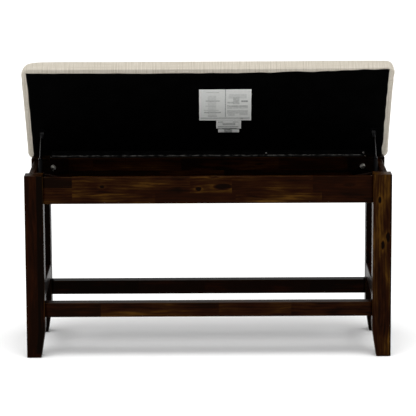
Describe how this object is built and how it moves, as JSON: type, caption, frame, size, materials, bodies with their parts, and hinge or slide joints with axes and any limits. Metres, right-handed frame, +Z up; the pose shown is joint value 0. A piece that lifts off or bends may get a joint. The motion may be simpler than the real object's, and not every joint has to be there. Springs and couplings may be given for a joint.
{
  "type": "storage bench",
  "caption": "Counter-height wooden bench with square tapered legs, low stretchers and a shallow storage box under a hinged padded fabric lid held open by gas stays.",
  "frame": {"origin": "on the floor, in the middle of what the bench covers with its lid open", "axes": "+X along the bench to the right seen from the front, +Y from the front to the hinge side, +Z up"},
  "size_m": [1.154, 0.426, 0.9018],
  "materials": {
    "wood_lacquer": "dark brown stained acacia in satin lacquer",
    "plywood": "raw plywood",
    "stained_ply": "plywood and softwood stained dark brown, not lacquered",
    "zinc": "zinc-plated steel",
    "black_metal": "black painted steel",
    "nitrided": "black nitrided rod, ground",
    "nylon": "black moulded nylon",
    "foam": "cream polyurethane foam",
    "linen": "oat coloured linen-look plain weave",
    "cambric": "black non-woven dust cover cloth",
    "label": "white spun fibre label"
  },
  "bodies": {
    "root": {"leg_front_left": "wood_lacquer", "glide_front_left": "nylon", "corner_block_front_left": "stained_ply", "hanger_bolt_front_left": "zinc", "washer_front_left": "zinc", "nut_front_left": "zinc", "leg_front_right": "wood_lacquer", "glide_front_right": "nylon", "corner_block_front_right": "stained_ply", "hanger_bolt_front_right": "zinc", "washer_front_right": "zinc", "nut_front_right": "zinc", "leg_rear_left": "wood_lacquer", "glide_rear_left": "nylon", "corner_block_rear_left": "stained_ply", "hanger_bolt_rear_left": "zinc", "washer_rear_left": "zinc", "nut_rear_left": "zinc", "leg_rear_right": "wood_lacquer", "glide_rear_right": "nylon", "corner_block_rear_right": "stained_ply", "hanger_bolt_rear_right": "zinc", "washer_rear_right": "zinc", "nut_rear_right": "zinc", "apron_front": "wood_lacquer", "stretcher_front": "wood_lacquer", "cleat_front": "stained_ply", "apron_rear": "wood_lacquer", "stretcher_rear": "wood_lacquer", "cleat_rear": "stained_ply", "apron_left": "wood_lacquer", "stretcher_left": "wood_lacquer", "cleat_left": "stained_ply", "apron_right": "wood_lacquer", "stretcher_right": "wood_lacquer", "cleat_right": "stained_ply", "box_floor": "stained_ply", "hinge_leaf_frame": "black_metal", "hinge_pin": "zinc", "stay_foot_bracket_left": "black_metal", "stay_foot_bracket_right": "black_metal"},
    "lid": {"lid_board": "plywood", "seat_foam": "foam", "seat_cover": "linen", "dust_cover": "cambric", "law_label": "label", "label_tag": "label", "hinge_leaf_lid": "black_metal", "stay_lid_bracket_left": "black_metal", "stay_lid_bracket_right": "black_metal"},
    "stay_tube_left": {"stay_tube_left": "black_metal"},
    "stay_rod_left": {"stay_rod_left": "nitrided", "stay_socket_left": "nylon"},
    "stay_tube_right": {"stay_tube_right": "black_metal"},
    "stay_rod_right": {"stay_rod_right": "nitrided", "stay_socket_right": "nylon"}
  },
  "joints": [
    {"name": "lid_hinge", "type": "hinge", "parent": "root", "child": "lid", "pos_m": [0, 0.16798, 0.5657], "axis": [1, 0, 0], "range_deg": [0, 50]},
    {"name": "stay_swing_left", "type": "hinge", "parent": "root", "child": "stay_tube_left", "pos_m": [-0.522, -0.08202, 0.5121], "axis": [1, 0, 0], "range_deg": [-21.82, 0]},
    {"name": "stay_slide_left", "type": "slide", "parent": "stay_tube_left", "child": "stay_rod_left", "axis": [0, 0.7649, 0.6442], "range_m": [-0.07978, 0]},
    {"name": "stay_swing_right", "type": "hinge", "parent": "root", "child": "stay_tube_right", "pos_m": [0.522, -0.08202, 0.5121], "axis": [1, 0, 0], "range_deg": [-21.82, 0]},
    {"name": "stay_slide_right", "type": "slide", "parent": "stay_tube_right", "child": "stay_rod_right", "axis": [0, 0.7649, 0.6442], "range_m": [-0.07978, 0]}
  ],
  "couplings": [
    {"joint": "stay_swing_left", "follows": "lid_hinge", "ratio": -0.42643},
    {"joint": "stay_slide_left", "follows": "lid_hinge", "m_per_rad": -0.09085},
    {"joint": "stay_swing_right", "follows": "lid_hinge", "ratio": -0.42643},
    {"joint": "stay_slide_right", "follows": "lid_hinge", "m_per_rad": -0.09085}
  ]
}
